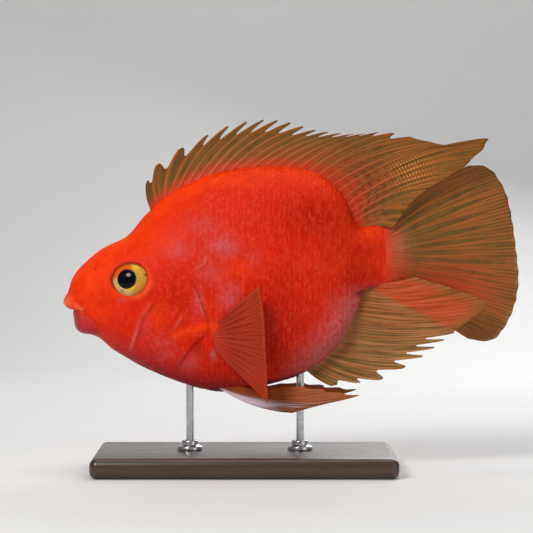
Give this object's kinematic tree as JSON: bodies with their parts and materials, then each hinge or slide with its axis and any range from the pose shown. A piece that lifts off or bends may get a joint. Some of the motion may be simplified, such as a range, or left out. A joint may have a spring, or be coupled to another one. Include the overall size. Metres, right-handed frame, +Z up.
{
  "type": "blood parrot cichlid model on a display stand",
  "caption": "Life-size model of a deep-bodied red aquarium cichlid with spread fins, held level over a flat wooden base by short steel rods.",
  "frame": {"origin": "centre of the stand's underside", "axes": "+Z up; the head points to -X and the fish's left side to -Y"},
  "size_m": [0.1799, 0.074, 0.1375],
  "materials": {
    "face_skin": "smooth orange-red skin with a wet shine",
    "red_skin": "finely scaled red skin with a wet shine",
    "amber_fin": "thin ribbed amber fin",
    "pale_fin": "ribbed fin with a lilac leading edge",
    "gold_eye": "clear glossy eye with a gold iris",
    "stained_wood": "dark stain, satin lacquer",
    "steel": "brushed"
  },
  "bodies": {
    "root": {"head": "face_skin", "lower_jaw": "face_skin", "gill_cover_left": "red_skin", "gill_cover_right": "red_skin", "torso": "red_skin", "tail_base": "red_skin", "eye_left": "gold_eye", "eye_right": "gold_eye", "dorsal_fin": "amber_fin", "anal_fin": "amber_fin", "tail_fin": "amber_fin", "pectoral_fin_left": "amber_fin", "pectoral_fin_right": "amber_fin", "pelvic_fin_left": "pale_fin", "pelvic_fin_right": "pale_fin", "stand_base": "stained_wood", "stand_rod_front": "steel", "stand_rod_rear": "steel", "stand_collar_front": "steel", "stand_collar_rear": "steel"}
  },
  "joints": []
}
